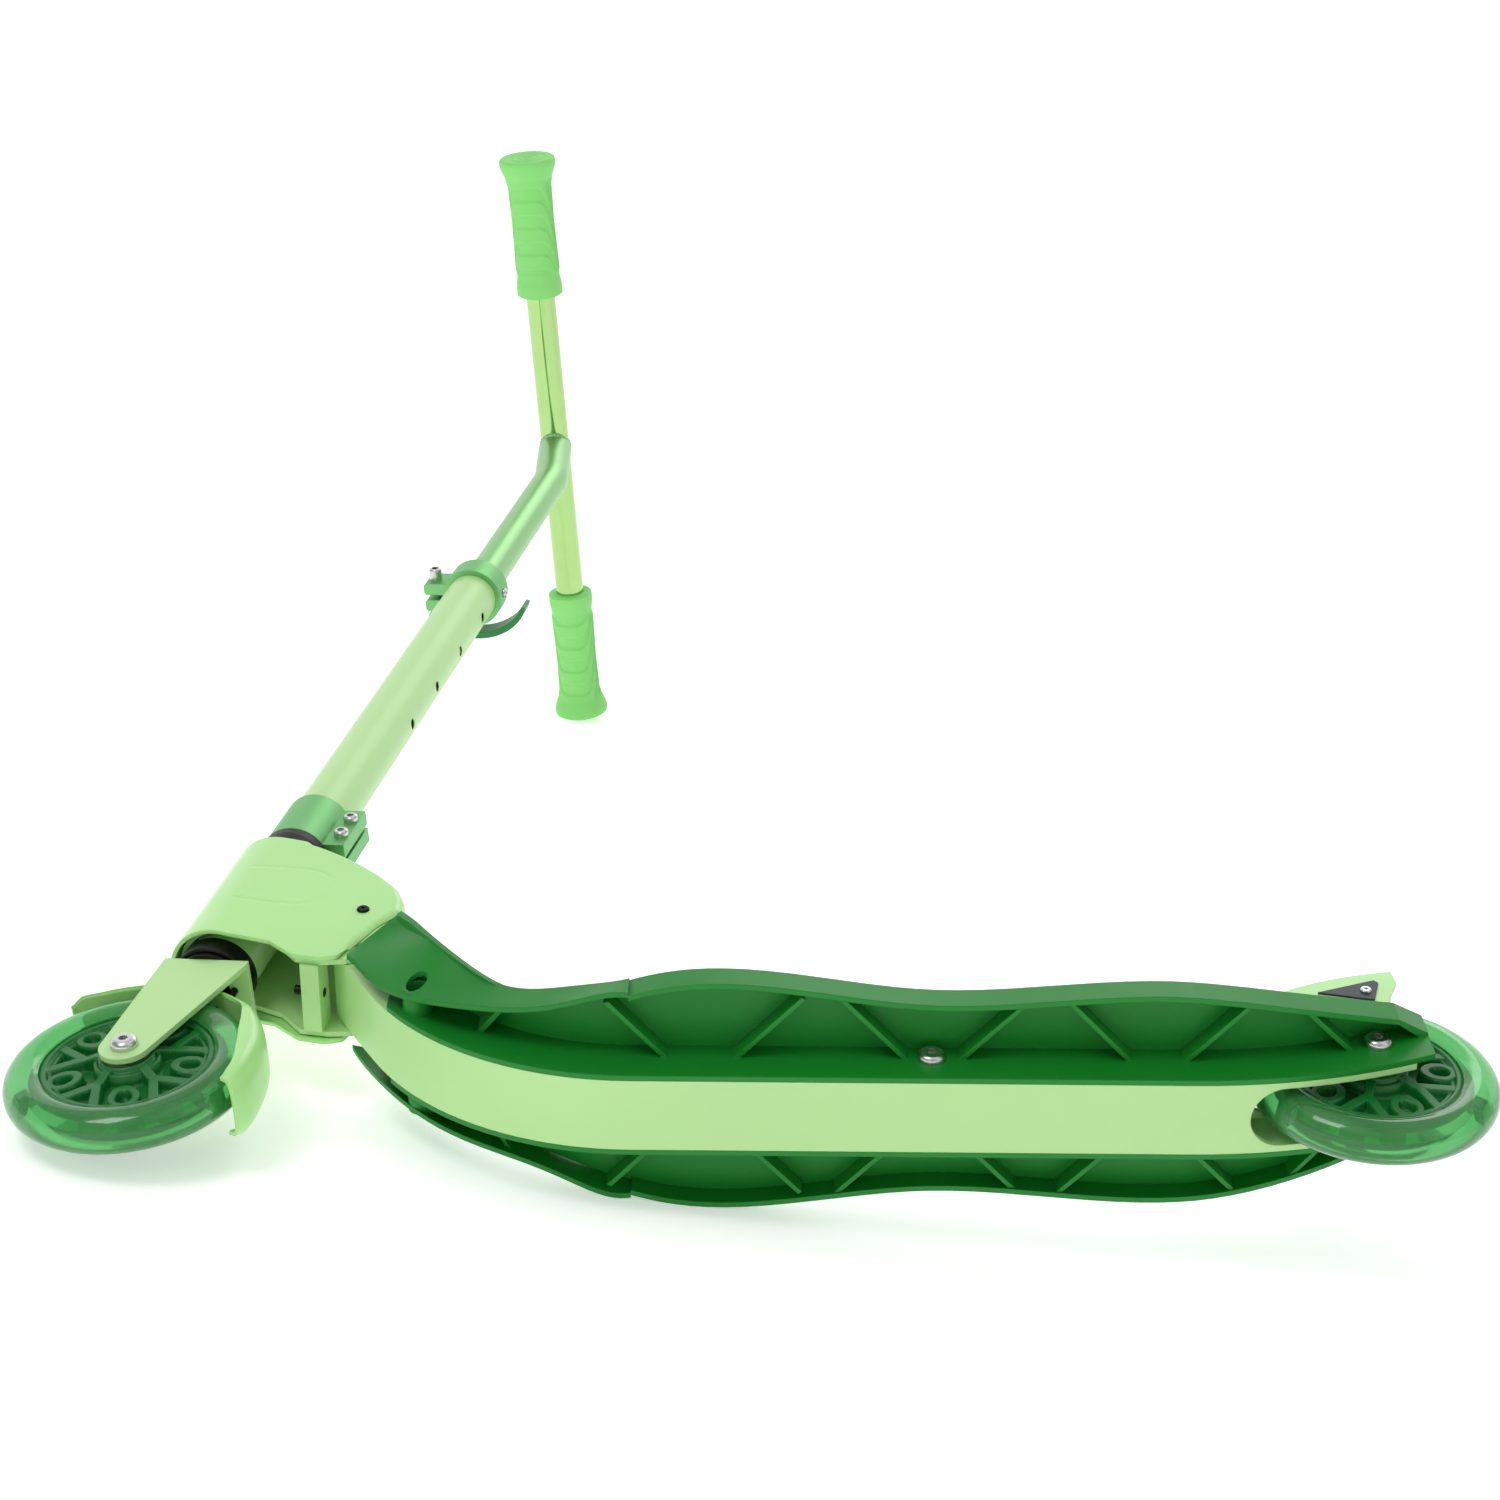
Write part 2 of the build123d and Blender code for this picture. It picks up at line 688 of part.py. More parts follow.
# ---------------------------------------------------------------- fold latch
with BuildPart() as latch_pin:
    with BuildSketch(side(0.1 - bracket_half - bracket_wall)):
        with Locations(latch_point):
            Circle(3)
    extrude(amount=0.2 - 2 * (bracket_half + bracket_wall))
keep(latch_pin, "latch_pin")
rise = Vector(-0.35, 0, 1).normalized()
with BuildPart() as latch_button:
    with BuildSketch(Plane(origin=(latch_point.X, 0, latch_point.Y), x_dir=(0, 1, 0), z_dir=rise)):
        RectangleRounded(17, 9, 2)
    extrude(amount=57)
    extrude(latch_button.faces().sort_by(Axis.Z)[0], amount=4.5)
    top = latch_button.faces().sort_by(Axis.Z)[-1]
    fillet(top.edges(), 1.5)
    with BuildSketch(side()):
        with Locations(latch_point):
            Circle(3)
        with Locations(fold_point):
            Circle(18)
    extrude(amount=30, both=True, mode=Mode.SUBTRACT)
keep(latch_button, "latch_button")

# ---------------------------------------------------------------- headset
bearing_outer = 18.4
with BuildPart() as lower_cup:
    with BuildSketch(steer.offset(150)):
        Circle(21)
    extrude(amount=head_bottom - 150)
    fillet(lower_cup.edges().filter_by(GeomType.CIRCLE), 1.2)
    with BuildSketch(steer.offset(150)):
        Circle(bearing_outer)
    extrude(amount=6.5, mode=Mode.SUBTRACT)
    with BuildSketch(steer.offset(150)):
        Circle(steerer_radius + 0.8)
    extrude(amount=20, mode=Mode.SUBTRACT)
keep(lower_cup, "lower_headset_cup")
with BuildPart() as upper_cup:
    with BuildSketch(steer.offset(head_top)):
        Circle(21)
    extrude(amount=14)
    fillet(upper_cup.edges().filter_by(GeomType.CIRCLE), 1.2)
    with BuildSketch(steer.offset(head_top + 7.5)):
        Circle(bearing_outer)
    extrude(amount=10, mode=Mode.SUBTRACT)
    with BuildSketch(steer.offset(head_top)):
        Circle(steerer_radius + 0.8)
    extrude(amount=20, mode=Mode.SUBTRACT)
keep(upper_cup, "upper_headset_cup")
keep(
    group(
        ring(steer.offset(151.5), bearing_outer, steerer_radius + fit, 5),
        ring(steer.offset(head_top + 7.5), bearing_outer, steerer_radius + fit, 5),
    ),
    "headset_bearings",
)

# ---------------------------------------------------------------- fork and column
with BuildPart() as fork:
    for across in (1, -1):
        with BuildSketch(steer_side(across * fork_inner)):
            with Locations((axle_forward, axle_height)):
                Circle(13)
            Polygon((-24, crown_top), (22, crown_top), (22, crown_top - 4), (-24, crown_top - 4), align=None)
            make_hull()
            with Locations((axle_forward, axle_height)):
                Circle(axle_radius, mode=Mode.SUBTRACT)
        extrude(amount=-fork_wall * across)
    with BuildSketch(steer.offset(crown_top)):
        with Locations((-1, 0)):
            Rectangle(46, 2 * (fork_inner + fork_wall))
        Circle(steerer_bore, mode=Mode.SUBTRACT)
    extrude(amount=-fork_wall)
    with BuildSketch(steer.offset(crown_top - fork_wall)):
        with Locations((-15, 0)):
            Circle(2)
    extrude(amount=fork_wall, mode=Mode.SUBTRACT)
keep(fork, "fork", True)
keep(ring(steer.offset(crown_top), steerer_radius, steerer_bore, 352 - crown_top), "steerer_tube", True)
keep(ring(steer.offset(crown_top), 19, steerer_radius, 2.6), "crown_race", True)
keep(ring(steer.offset(head_top + 14.4), 20, steerer_radius, 5), "headset_cap", True)


def fender_arc(inner, outer, start, stop):
    """Ring segment about the front axle in the column's side view."""
    with BuildSketch() as segment:
        with BuildLine():
            low = CenterArc((axle_forward, axle_height), inner, start, stop - start)
            high = CenterArc((axle_forward, axle_height), outer, start, stop - start)
            Line(low @ 0, high @ 0)
            Line(low @ 1, high @ 1)
        make_face()
    return segment.sketch


fender_seat = axle_height + 62.7
with BuildPart() as front_fender:
    with BuildSketch(steer_side()):
        add(fender_arc(66, 68.5, 44, 130))
    extrude(amount=12.8, both=True)
    with BuildSketch(steer_side()):
        add(fender_arc(66, 68.5, 128, 200))
    extrude(amount=17, both=True)
    for across in (1, -1):
        with BuildSketch(steer_side(14.5 * across)):
            add(fender_arc(56, 68.5, 128, 200))
        extrude(amount=-2.5 * across)
    fillet(front_fender.edges().filter_by(GeomType.CIRCLE).group_by(Axis.Y)[-1].sort_by(SortBy.LENGTH)[-1], 1.5)
    with BuildSketch(steer.offset(crown_top - fork_wall)):
        with Locations((-15, 0)):
            Circle(5)
    extrude(amount=-18)
    with BuildSketch(steer_side()):
        with Locations((axle_forward, axle_height)):
            Circle(66)
    extrude(amount=14, both=True, mode=Mode.SUBTRACT)
    with BuildSketch(steer.offset(crown_top)):
        with Locations((-15, 0)):
            Circle(2)
    extrude(amount=-40, mode=Mode.SUBTRACT)
    with BuildSketch(steer.offset(fender_seat)):
        with Locations((-15, 0)):
            Circle(4.2)
    extrude(amount=-8, mode=Mode.SUBTRACT)
keep(front_fender, "front_fender", True)
screw_seat = Plane(
    origin=steer.from_local_coords(Vector(-15, 0, fender_seat)), x_dir=steer.x_dir, z_dir=-steer.z_dir
)
keep(bolt(screw_seat, 2, crown_top - fender_seat, 4, 1.6, 1.4), "fender_screw", True)

# ---------------------------------------------------------------- mast
with BuildPart() as mast:
    with BuildSketch(steer.offset(mast_bottom)):
        Circle(mast_radius)
        Circle(mast_bore, mode=Mode.SUBTRACT)
    extrude(amount=mast_top - mast_bottom)
    with BuildSketch(steer.offset(430)):
        with Locations((-mast_bore, 0)):
            Rectangle(3.6, 7.2)
    extrude(amount=300, mode=Mode.SUBTRACT)
    with BuildSketch(steer.offset(mast_bottom)):
        with Locations((-mast_radius, 0)):
            Rectangle(8, 2)
    extrude(amount=34, mode=Mode.SUBTRACT)
    with BuildSketch(steer.offset(mast_top)):
        with Locations((mast_radius, 0)):
            Rectangle(8, 2)
    extrude(amount=-36, mode=Mode.SUBTRACT)
    for number in range(4):
        height = lowest_hole + number * hole_pitch
        hole_plane = Plane(origin=steer.from_local_coords(Vector(-20, 0, height)), z_dir=steer.x_dir)
        with BuildSketch(hole_plane):
            Circle(3.3)
        extrude(amount=8, mode=Mode.SUBTRACT)
keep(mast, "mast_tube", True)

# lower collar: a split clamp that grips the mast on the steerer
collar_bottom, collar_height = 289.5, 42.0
with BuildPart() as collar:
    with BuildSketch(steer.offset(collar_bottom)):
        Circle(mast_radius + 2.6)
        with Locations((-23, 0)):
            Rectangle(13, 19)
        Circle(mast_radius, mode=Mode.SUBTRACT)
        with Locations((-24, 0)):
            Rectangle(20, 2.6, mode=Mode.SUBTRACT)
    extrude(amount=collar_height)
    for height in (12, 30):
        hole = Plane(origin=steer.from_local_coords(Vector(-24.5, 0, collar_bottom + height)), z_dir=(0, 1, 0))
        with BuildSketch(hole):
            Circle(2.5)
        extrude(amount=20, both=True, mode=Mode.SUBTRACT)
keep(collar, "lower_collar", True)
keep(
    group(
        *(
            bolt(steer_facing(-24.5, collar_bottom + height, 9.5, 1), 2.5, 18, 4.2, 3.6, 2.2)
            for height in (12, 30)
        )
    ),
    "collar_screws",
    True,
)

# quick-release clamp: ring, sleeve, bolt and lever
ring_bottom, ring_height = 669.0, 20.0
ear_x, lever_y = 27.0, -17.5
clamp_mid = ring_bottom + ring_height / 2
with BuildPart() as clamp_ring:
    with BuildSketch(steer.offset(ring_bottom)):
        Circle(mast_radius + 3.6)
        with Locations((25, 0)):
            Rectangle(17, 20)
        Circle(mast_radius, mode=Mode.SUBTRACT)
        with Locations((26, 0)):
            Rectangle(24, 4, mode=Mode.SUBTRACT)
    extrude(amount=ring_height)
    fillet(clamp_ring.edges().filter_by(steer_axis).group_by(Axis(steer.origin, steer.x_dir))[-1], 2)
    bolt_plane = Plane(origin=steer.from_local_coords(Vector(ear_x, 0, clamp_mid)), z_dir=(0, 1, 0))
    with BuildSketch(bolt_plane):
        Circle(2.5)
    extrude(amount=20, both=True, mode=Mode.SUBTRACT)
    with BuildSketch(Plane(origin=steer.from_local_coords(Vector(-24, 0, clamp_mid)), z_dir=steer.x_dir)):
        Circle(1.6)
    extrude(amount=8, mode=Mode.SUBTRACT)
keep(clamp_ring, "clamp_ring", True)
keep(bolt(steer_facing(ear_x, clamp_mid, 10, 1), 2.5, 24.5, 4.3, 8, 2.4), "clamp_bolt", True)
keep(
    bolt(
        Plane(origin=steer.from_local_coords(Vector(-20.6, 0, clamp_mid)), z_dir=-steer.x_dir),
        1.6, 3.4, 3.2, 1.8, 1.2,
    ),
    "clamp_ring_screw",
    True,
)
with BuildPart() as sleeve:
    with BuildSketch(steer.offset(650)):
        Circle(mast_bore)
    extrude(amount=mast_top - 650)
    with BuildSketch(steer.offset(mast_top)):
        Circle(mast_radius)
    extrude(amount=1.6)
    with BuildSketch(steer.offset(640)):
        Circle(upper_radius + fit)
    extrude(amount=60, mode=Mode.SUBTRACT)
keep(sleeve, "clamp_sleeve", True)

with BuildPart() as lever:
    with BuildSketch(steer.offset(clamp_mid - 7)):
        with BuildLine():
            outer = Spline((ear_x + 4, lever_y - 6), (9, -31), (-14, -29.5), (-29, -20.5), (-36.5, -8.5))
            inner = Spline((-34, -7.5), (-26, -17.5), (-12, -25.2), (8, -26), (ear_x - 6, lever_y - 1))
            Line(outer @ 1, inner @ 0)
            Line(inner @ 1, outer @ 0)
        make_face()
        with Locations((ear_x, lever_y)):
            Circle(7)
    extrude(amount=14)
    with BuildSketch(steer.offset(clamp_mid - 10)):
        with Locations((ear_x, lever_y)):
            Circle(2.5 + fit)
    extrude(amount=20, mode=Mode.SUBTRACT)
    with BuildSketch(steer.offset(clamp_mid - 3.2)):
        with Locations((ear_x, lever_y + 3)):
            Rectangle(15, 12)
    extrude(amount=6.4, mode=Mode.SUBTRACT)
keep(lever, "clamp_lever", True)
with BuildPart() as lever_pin:
    with BuildSketch(steer.offset(clamp_mid - 7.5)):
        with Locations((ear_x, lever_y)):
            Circle(2.5)
    extrude(amount=15)
    with BuildSketch(Plane(origin=steer.from_local_coords(Vector(ear_x, -14.5, clamp_mid)), z_dir=(0, -1, 0))):
        Circle(2.5)
    extrude(amount=-10, mode=Mode.SUBTRACT)
keep(lever_pin, "lever_pin", True)

# ---------------------------------------------------------------- handlebar
with BuildPart() as upper_tube:
    with BuildLine(steer_side()) as spine:
        FilletPolyline((0, upper_bottom), (0, bend_height), (bar_forward, bar_height), radius=60)
    with BuildSketch(steer.offset(upper_bottom)):
        Circle(upper_radius)
        Circle(upper_radius - 1.7, mode=Mode.SUBTRACT)
    sweep(path=spine.line)
    with BuildSketch(steer_side()):
        with Locations((bar_forward, bar_height)):
            Circle(bar_radius)
    extrude(amount=40, both=True, mode=Mode.SUBTRACT)
    with BuildSketch(Plane(origin=steer.from_local_coords(Vector(-20, 0, button_height)), z_dir=steer.x_dir)):
        Circle(3.2)
    extrude(amount=16, mode=Mode.SUBTRACT)
keep(upper_tube, "upper_tube", True)
bar_centre = steer.from_local_coords(Vector(bar_forward, 0, bar_height))
with BuildPart() as crossbar:
    with BuildSketch(Plane(origin=bar_centre, z_dir=(0, 1, 0))):
        Circle(bar_radius)
        Circle(bar_radius - 1.8, mode=Mode.SUBTRACT)
    extrude(amount=bar_half, both=True)
keep(crossbar, "crossbar", True)
for name, across in (("left_grip", 1), ("right_grip", -1)):
    with BuildPart() as grip:
        across_bar = Plane(origin=bar_centre, x_dir=(0, across, 0), z_dir=steer.z_dir)
        inner_end = grip_end - grip_length
        with BuildSketch(across_bar):
            with BuildLine():
                collar_line = Polyline(
                    (inner_end, bar_radius), (inner_end, 16.4), (inner_end + 1, 17.2), (inner_end + 8, 17.2)
                )
                hand = Spline(
                    collar_line @ 1, (inner_end + 34, 16.2), (inner_end + 68, 15.6), (grip_end - 18, 16.2),
                    (grip_end - 6, 20.4),
                )
                Polyline(
                    hand @ 1, (grip_end - 3, 21.2), (grip_end - 1, 20.8), (grip_end, 19.4), (grip_end, 0),
                    (bar_half, 0), (bar_half, bar_radius), (inner_end, bar_radius),
                )
            make_face()
        revolve(axis=Axis(origin=bar_centre, direction=(0, 1, 0)))
    keep(grip, name, True)
keep(
    ring(steer.offset(upper_bottom), mast_bore - 0.1, upper_radius, 25), "upper_tube_bush", True
)
button_plane = Plane(origin=steer.from_local_coords(Vector(-16.2, 0, button_height)), z_dir=steer.x_dir)
with BuildPart() as button:
    with BuildSketch(button_plane):
        Circle(3.1)
    extrude(amount=8)
    fillet(button.edges().group_by(Axis(steer.origin, steer.x_dir))[0], 1.6)
    with BuildSketch(button_plane.offset(6.5)):
        Circle(4.4)
    extrude(amount=1.5)
keep(button, "snap_button", True)
spring_plane = Plane(origin=steer.from_local_coords(Vector(-3.2, 0, button_height)), z_dir=steer.x_dir)
keep(coil(spring_plane, 2.6, 0.5, 1.8, 13), "button_spring", True)


# ---------------------------------------------------------------- lay it down
# The whole scooter rests on its right side: on the right grip and the deck's right edge.
for label, (shape, turned) in pieces.items():
    if turned:
        shape = shape.rotate(steer_axis, steered)
    pieces[label] = shape.rotate(Axis.Z, -nose_down).rotate(Axis.X, lean).rotate(Axis.Z, 180)

box = Compound(pieces.values()).bounding_box()
settle = Location((-box.center().X, -box.center().Y, -box.min.Z))

os.makedirs("parts", exist_ok=True)
for label, shape in pieces.items():
    piece = shape.moved(settle)
    piece.label = label
    export_step(piece, f"parts/{label}.step")
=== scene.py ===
import json
import math

import bmesh
import bpy
import numpy as np
from mathutils import Matrix, Vector


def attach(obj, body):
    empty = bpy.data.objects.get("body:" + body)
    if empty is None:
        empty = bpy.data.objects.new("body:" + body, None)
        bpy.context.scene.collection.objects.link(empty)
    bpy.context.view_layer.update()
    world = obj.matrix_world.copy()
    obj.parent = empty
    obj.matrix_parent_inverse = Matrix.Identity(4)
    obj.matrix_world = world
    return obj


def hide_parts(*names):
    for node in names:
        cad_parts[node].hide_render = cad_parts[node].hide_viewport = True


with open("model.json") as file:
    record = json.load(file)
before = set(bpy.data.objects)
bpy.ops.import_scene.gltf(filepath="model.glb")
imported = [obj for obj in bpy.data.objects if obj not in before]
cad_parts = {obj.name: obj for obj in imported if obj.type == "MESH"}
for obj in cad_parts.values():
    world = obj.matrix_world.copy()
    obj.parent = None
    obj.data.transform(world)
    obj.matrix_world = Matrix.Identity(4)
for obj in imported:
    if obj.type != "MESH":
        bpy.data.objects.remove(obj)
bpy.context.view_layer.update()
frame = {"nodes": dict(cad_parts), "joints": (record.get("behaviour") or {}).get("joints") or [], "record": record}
nodes = frame["nodes"]


# ---------------------------------------------------------------- stage and camera
# A pale seamless sweep under soft lamps and a bright room with a dimmer ceiling band, and a
# camera that looks low across the scooter.
scene = bpy.context.scene


def mesh_piece(name, points, closed=(False, False), keep=None):
    """Joins a grid of points, rows by columns by 3, into four-sided faces, merging its poles."""
    index = np.arange(points.shape[0] * points.shape[1]).reshape(points.shape[:2])
    if closed[0]:
        index = np.concatenate((index, index[:1]), 0)
    if closed[1]:
        index = np.concatenate((index, index[:, :1]), 1)
    faces = np.stack((index[:-1, :-1], index[1:, :-1], index[1:, 1:], index[:-1, 1:]), -1)
    faces = faces[keep] if keep is not None else faces.reshape(-1, 4)
    mesh = bpy.data.meshes.new(name)
    mesh.from_pydata(points.reshape(-1, 3).tolist(), [], faces.tolist())
    work = bmesh.new()
    work.from_mesh(mesh)
    bmesh.ops.remove_doubles(work, verts=work.verts, dist=2e-6)
    bmesh.ops.dissolve_degenerate(work, edges=work.edges, dist=1e-6)
    loose = [v for v in work.verts if not v.link_faces]
    bmesh.ops.delete(work, geom=loose, context="VERTS")
    bmesh.ops.recalc_face_normals(work, faces=work.faces)
    centre = sum((f.calc_center_median() for f in work.faces), Vector()) / len(work.faces)
    if sum(f.normal.dot(f.calc_center_median() - centre) * f.calc_area() for f in work.faces) < 0:
        bmesh.ops.reverse_faces(work, faces=work.faces)
    work.to_mesh(mesh)
    work.free()
    mesh.shade_smooth()
    piece = bpy.data.objects.new(name, mesh)
    scene.collection.objects.link(piece)
    return piece


sweep_turn = np.linspace(0, math.pi / 2, 25)
sweep_radius, sweep_reach, sweep_start = 1.6, 12.0, 3.4
sweep_y = np.append(-sweep_reach, sweep_start + sweep_radius * np.sin(sweep_turn))
sweep_y = np.append(sweep_y, sweep_start + sweep_radius)
sweep_z = np.append(0.0, sweep_radius * (1 - np.cos(sweep_turn)))
sweep_z = np.append(sweep_z, sweep_reach / 2)
sweep_x = np.linspace(-sweep_reach, sweep_reach, 9)
floor = mesh_piece(
    "floor",
    np.stack(np.broadcast_arrays(sweep_x[None], sweep_y[:, None], sweep_z[:, None]), -1),
)
if sum(f.normal.z for f in floor.data.polygons) < 0:
    floor.data.flip_normals()


def panel_light(name, place, aim, size, power, colour=(1, 1, 1)):
    """Soft square lamp at a place, turned to face a point."""
    lamp = bpy.data.lights.new(name, "AREA")
    lamp.shape = "SQUARE"
    lamp.size = size
    lamp.energy = power
    lamp.color = colour
    holder = bpy.data.objects.new(name, lamp)
    holder.location = place
    holder.rotation_euler = (Vector(aim) - Vector(place)).to_track_quat("-Z", "Y").to_euler()
    scene.collection.objects.link(holder)


panel_light("key_light", (-1.3, -1.4, 2.4), (0, 0, 0.1), 1.0, 20)
panel_light("fill_light", (2.2, -1.8, 1.5), (0, -0.1, 0.1), 1.6, 5)
panel_light("back_light", (0.6, 2.2, 2.2), (0, 0, 0.15), 1.4, 10)
world = bpy.data.worlds.new("studio")
scene.world = world
world.use_nodes = True
room = world.node_tree.nodes
direction = room.new("ShaderNodeTexCoord")
parts = room.new("ShaderNodeSeparateXYZ")
shaded = room.new("ShaderNodeMix")
shaded.data_type = "RGBA"
shaded.blend_type = "MULTIPLY"
shaded.inputs[0].default_value = 1.0
world.node_tree.links.new(direction.outputs["Generated"], parts.inputs[0])
bands = (
    ("Z", 6, ((0.0, 0.95), (0.50, 0.95), (0.68, 0.42), (0.80, 0.5), (0.95, 1.0))),
    ("X", 7, (
        (0.0, 1.0), (0.16, 0.25), (0.26, 1.0), (0.42, 1.0), (0.50, 0.35), (0.58, 1.0),
        (0.76, 1.0), (0.88, 0.2), (1.0, 0.9),
    )),
)
for axis, socket, tones in bands:
    centred = room.new("ShaderNodeMapRange")
    centred.inputs[1].default_value = -1.0
    ramp = room.new("ShaderNodeValToRGB")
    ramp.color_ramp.interpolation = "B_SPLINE"
    for stop, tone in tones:
        mark = ramp.color_ramp.elements.new(stop)
        mark.color = (tone, tone, tone, 1)
    world.node_tree.links.new(parts.outputs[axis], centred.inputs[0])
    world.node_tree.links.new(centred.outputs[0], ramp.inputs[0])
    world.node_tree.links.new(ramp.outputs[0], shaded.inputs[socket])
world.node_tree.links.new(shaded.outputs[2], room["Background"].inputs["Color"])
room["Background"].inputs["Strength"].default_value = 1.0
scene.view_settings.view_transform = "Standard"

lens = bpy.data.cameras.new("camera")
lens.sensor_width = 36.0
lens.lens = 67.46
camera = bpy.data.objects.new("camera", lens)
camera.matrix_world = (
    Matrix.Translation((-0.0913, -1.7471, 0.5931))
    @ Matrix.Rotation(math.radians(-3.07), 4, "Z")
    @ Matrix.Rotation(math.radians(90 - 15.155), 4, "X")
    @ Matrix.Rotation(math.radians(7.08), 4, "Z")
)
scene.collection.objects.link(camera)
scene.camera = camera


# ---------------------------------------------------------------- floor finish
# Matt white board, with the faintest unevenness in its tone.
class Value:
    """A number or vector in a material: arithmetic on it adds Math nodes."""

    def __init__(self, finish, socket):
        self.finish = finish
        self.socket = socket

    def math(self, operation, *others):
        sockets = dict(enumerate((self, *others)))
        return self.finish.node("ShaderNodeMath", {"operation": operation}, sockets)

    def __add__(self, other):
        return self.math("ADD", other)

    def __radd__(self, other):
        return self.math("ADD", other)

    def __mul__(self, other):
        return self.math("MULTIPLY", other)

    def __rmul__(self, other):
        return self.math("MULTIPLY", other)

    def __sub__(self, other):
        return self.math("SUBTRACT", other)

    def __rsub__(self, other):
        return self.math("MULTIPLY", -1) + other

    def above(self, edge, soft=0.1):
        """0 below an edge, 1 above it, with a soft step between."""
        step = {"interpolation_type": "SMOOTHSTEP"}
        sockets = {0: self, 1: edge, 2: edge + soft, 3: 0.0, 4: 1.0}
        return self.finish.node("ShaderNodeMapRange", step, sockets)


class Finish:
    """One material: a Principled shader and the nodes that vary it."""

    def __init__(self, name, **fixed):
        self.material = bpy.data.materials.new(name)
        self.material.use_nodes = True
        self.tree = self.material.node_tree
        self.shader = self.tree.nodes["Principled BSDF"]
        for socket, value in fixed.items():
            self.shader.inputs[socket.replace("_", " ")].default_value = value

    def node(self, kind, settings=None, sockets=None, output=0):
        """Add a node: its settings first, then the values or links of its sockets."""
        made = self.tree.nodes.new(kind)
        for key, value in (settings or {}).items():
            setattr(made, key, value)
        for key, value in (sockets or {}).items():
            if isinstance(value, Value):
                self.tree.links.new(value.socket, made.inputs[key])
            else:
                made.inputs[key].default_value = value
        return Value(self, made.outputs[output])

    def place(self):
        return self.node("ShaderNodeTexCoord", output=3)

    def noise(self, scale, detail=3.0, rough=0.55):
        sockets = {"Vector": self.place(), "Scale": scale, "Detail": detail, "Roughness": rough}
        return self.node("ShaderNodeTexNoise", {"noise_dimensions": "3D"}, sockets)

    def mix(self, share, first, second):
        """Two colours mixed by a share."""
        return self.node("ShaderNodeMix", {"data_type": "RGBA"}, {0: share, 6: first, 7: second}, output=2)

    def bump(self, height, strength, distance, edge=0.0005):
        """A bump over edges that are rounded by a small radius."""
        soft = self.node("ShaderNodeBevel", {"samples": 4}, {"Radius": edge})
        sockets = {"Strength": strength, "Distance": distance, "Height": height, "Normal": soft}
        return self.node("ShaderNodeBump", {}, sockets)

    def feed(self, socket, value):
        self.tree.links.new(value.socket, self.shader.inputs[socket])

    def onto(self, *pieces):
        for piece in pieces:
            piece.data.materials.clear()
            piece.data.materials.append(self.material)


def tint(red, green, blue):
    """A paint-card colour, 0 to 255 a channel, as light."""
    return tuple((c / 255) ** 2.2 for c in (red, green, blue)) + (1.0,)


def shade(colour, factor):
    return tuple(min(c * factor, 1.0) for c in colour[:3]) + (1.0,)


board_white = Finish("floor_white", Roughness=0.9, Emission_Strength=0.42, Emission_Color=(1, 1, 1, 1))
tone = board_white.noise(0.7)
board_white.feed("Base Color", board_white.mix(tone, (0.90, 0.90, 0.90, 1), (0.94, 0.94, 0.94, 1)))
board_white.onto(floor)


# ---------------------------------------------------------------- painted steel
# Backbone, column, fork, head bracket and brake hinge: steel, powder coated in light
# green. The coat is a soft-gloss skin with a very fine orange peel.
light_green = tint(184, 229, 154)
paint = Finish("light_green_paint", Specular_IOR_Level=0.4, Coat_Roughness=0.25)
cloud = paint.noise(9.0)
peel = paint.noise(1400.0, detail=2.0)
rub = paint.noise(60.0, detail=6.0, rough=0.7).above(0.62, 0.2)
paint.feed("Base Color", paint.mix(cloud, shade(light_green, 0.95), shade(light_green, 1.05)))
paint.feed("Roughness", 0.36 + cloud * 0.08 + rub * 0.10)
paint.feed("Coat Weight", 0.22 - rub * 0.14)
paint.feed("Normal", paint.bump(peel, 0.10, 0.0002, 0.0008))
painted = ("mast_tube", "fork", "backbone_tube", "head_bracket", "head_tube", "brake_mount", "stop_block")
paint.onto(*(nodes[name] for name in painted))


# ---------------------------------------------------------------- deck
# One moulding in dark green polypropylene: a top plate with two webs that hug the steel
# tube, outer walls and crossed ribs underneath. Screws hold it at the nose and the middle.
def moulded(name, colour, roughness, grain=2600.0, depth=0.16, sheen=0.45, edge=0.0006, **fixed):
    """Moulded plastic: cloudy tone, fine grain, and glossier handled patches."""
    plastic = Finish(name, Specular_IOR_Level=sheen, **fixed)
    flow = plastic.noise(5.0, detail=2.0)
    handled = plastic.noise(22.0, detail=5.0).above(0.55, 0.25)
    speck = plastic.noise(grain, detail=2.0)
    plastic.feed("Base Color", plastic.mix(flow, shade(colour, 0.90), shade(colour, 1.10)))
    plastic.feed("Roughness", roughness + flow * 0.08 - handled * 0.07)
    plastic.feed("Normal", plastic.bump(speck, depth, 0.0002, edge))
    return plastic


deck_plastic = moulded("dark_green_plastic", tint(22, 130, 42), 0.40, sheen=0.4, edge=0.0008)
deck_plastic.onto(nodes["deck_board"])


# ---------------------------------------------------------------- bright metal
# Zinc-plated screws, pins, springs and bearings, and chromed axle bolts with domed heads.
def metal(name, colour, roughness, grain=900.0, edge=0.0004, coat=0.0):
    """Bare or plated metal with fine wear in its roughness."""
    plated = Finish(name, Metallic=1.0, Coat_Weight=coat)
    wear = plated.noise(40.0, detail=6.0, rough=0.7)
    lines = plated.noise(grain)
    plated.feed("Base Color", plated.mix(wear, shade(colour, 0.9), shade(colour, 1.06)))
    plated.feed("Roughness", roughness + wear * 0.14)
    plated.feed("Normal", plated.bump(lines, 0.06, 0.0001, edge))
    return plated


